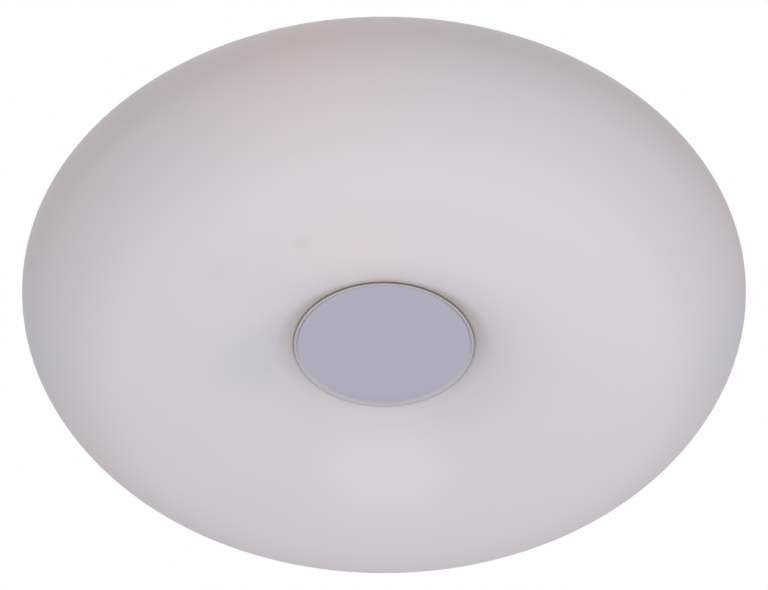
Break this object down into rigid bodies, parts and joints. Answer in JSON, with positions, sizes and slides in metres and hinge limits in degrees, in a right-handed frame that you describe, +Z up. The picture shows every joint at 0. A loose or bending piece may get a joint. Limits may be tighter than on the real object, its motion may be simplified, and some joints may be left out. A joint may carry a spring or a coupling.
{
  "type": "flush mount ceiling light",
  "caption": "Flush mount ceiling light: a wide dimpled opal glass shade held up by a round metal cap on a central threaded stud, under a pan with lampholders in a pinwheel.",
  "frame": {"origin": "centre of the ceiling plane, midway between the crossbar's two box-screw slots", "axes": "+Z up into the ceiling along the stud, +X along the crossbar; the lamp hangs below into -Z"},
  "size_m": [0.4199, 0.42, 0.1198],
  "materials": {
    "opal_glass": "satin, blown opal glass",
    "frosted_glass": "frosted",
    "black_glass": "glossy",
    "porcelain": "glazed",
    "satin_chrome": "satin",
    "zinc_steel": "zinc plated",
    "white_paint": "semi-gloss white powder coat",
    "green_paint": "green plated",
    "brass": "plain",
    "bulb_cap_metal": "plain",
    "solder": "dull",
    "silicone": "matte",
    "nylon": "matte",
    "insulation": "glass wool mat with foil-free face",
    "black_insulation": "matte",
    "white_insulation": "matte"
  },
  "bodies": {
    "base": {"pan": "white_paint", "insulation_pad": "insulation", "crossbar": "zinc_steel", "ground_screw": "green_paint", "mounting_screw_1": "zinc_steel", "mounting_screw_2": "zinc_steel", "center_stud": "zinc_steel", "stud_nut_top": "zinc_steel", "stud_lock_washer": "zinc_steel", "stud_nut_bottom": "zinc_steel", "spacer_tube": "zinc_steel", "shade_stop": "zinc_steel", "stop_washer": "silicone", "holder_bracket_1": "white_paint", "lampholder_1": "porcelain", "screw_shell_1": "brass", "center_contact_1": "brass", "holder_screw_1": "zinc_steel", "bracket_rivet_1": "zinc_steel", "wire_bushing_1": "nylon", "line_lead_1": "black_insulation", "neutral_lead_1": "white_insulation", "holder_bracket_2": "white_paint", "lampholder_2": "porcelain", "screw_shell_2": "brass", "center_contact_2": "brass", "holder_screw_2": "zinc_steel", "bracket_rivet_2": "zinc_steel", "wire_bushing_2": "nylon", "line_lead_2": "black_insulation", "neutral_lead_2": "white_insulation", "holder_bracket_3": "white_paint", "lampholder_3": "porcelain", "screw_shell_3": "brass", "center_contact_3": "brass", "holder_screw_3": "zinc_steel", "bracket_rivet_3": "zinc_steel", "wire_bushing_3": "nylon", "line_lead_3": "black_insulation", "neutral_lead_3": "white_insulation"},
    "shade": {"shade_glass": "opal_glass", "hole_bushing": "nylon"},
    "gasket": {"gasket": "silicone"},
    "cap": {"cap_disc": "satin_chrome", "cap_hub": "brass"},
    "bulb_1": {"bulb_glass_1": "frosted_glass", "bulb_base_1": "bulb_cap_metal", "bulb_insulator_1": "black_glass", "bulb_tip_1": "solder"},
    "bulb_2": {"bulb_glass_2": "frosted_glass", "bulb_base_2": "bulb_cap_metal", "bulb_insulator_2": "black_glass", "bulb_tip_2": "solder"},
    "bulb_3": {"bulb_glass_3": "frosted_glass", "bulb_base_3": "bulb_cap_metal", "bulb_insulator_3": "black_glass", "bulb_tip_3": "solder"}
  },
  "joints": [
    {"name": "shade_lower", "type": "slide", "parent": "base", "child": "shade", "axis": [0, 0, -1], "range_m": [0, 0.13]},
    {"name": "cap_advance", "type": "slide", "parent": "shade", "child": "gasket", "axis": [0, 0, -1], "range_m": [0, 0.007]},
    {"name": "cap_turn", "type": "hinge", "parent": "gasket", "child": "cap", "pos_m": [0, 0, -0.084], "axis": [0, 0, -1], "range_deg": [0, 2520]},
    {"name": "bulb_1_release", "type": "slide", "parent": "base", "child": "bulb_1", "axis": [-1, 0, 0], "range_m": [0, 0.03]},
    {"name": "bulb_2_release", "type": "slide", "parent": "base", "child": "bulb_2", "axis": [0.5, -0.866, 0], "range_m": [0, 0.03]},
    {"name": "bulb_3_release", "type": "slide", "parent": "base", "child": "bulb_3", "axis": [0.5, 0.866, 0], "range_m": [0, 0.03]}
  ],
  "couplings": [
    {"joint": "cap_advance", "follows": "cap_turn", "m_per_rad": 0.00015915}
  ]
}
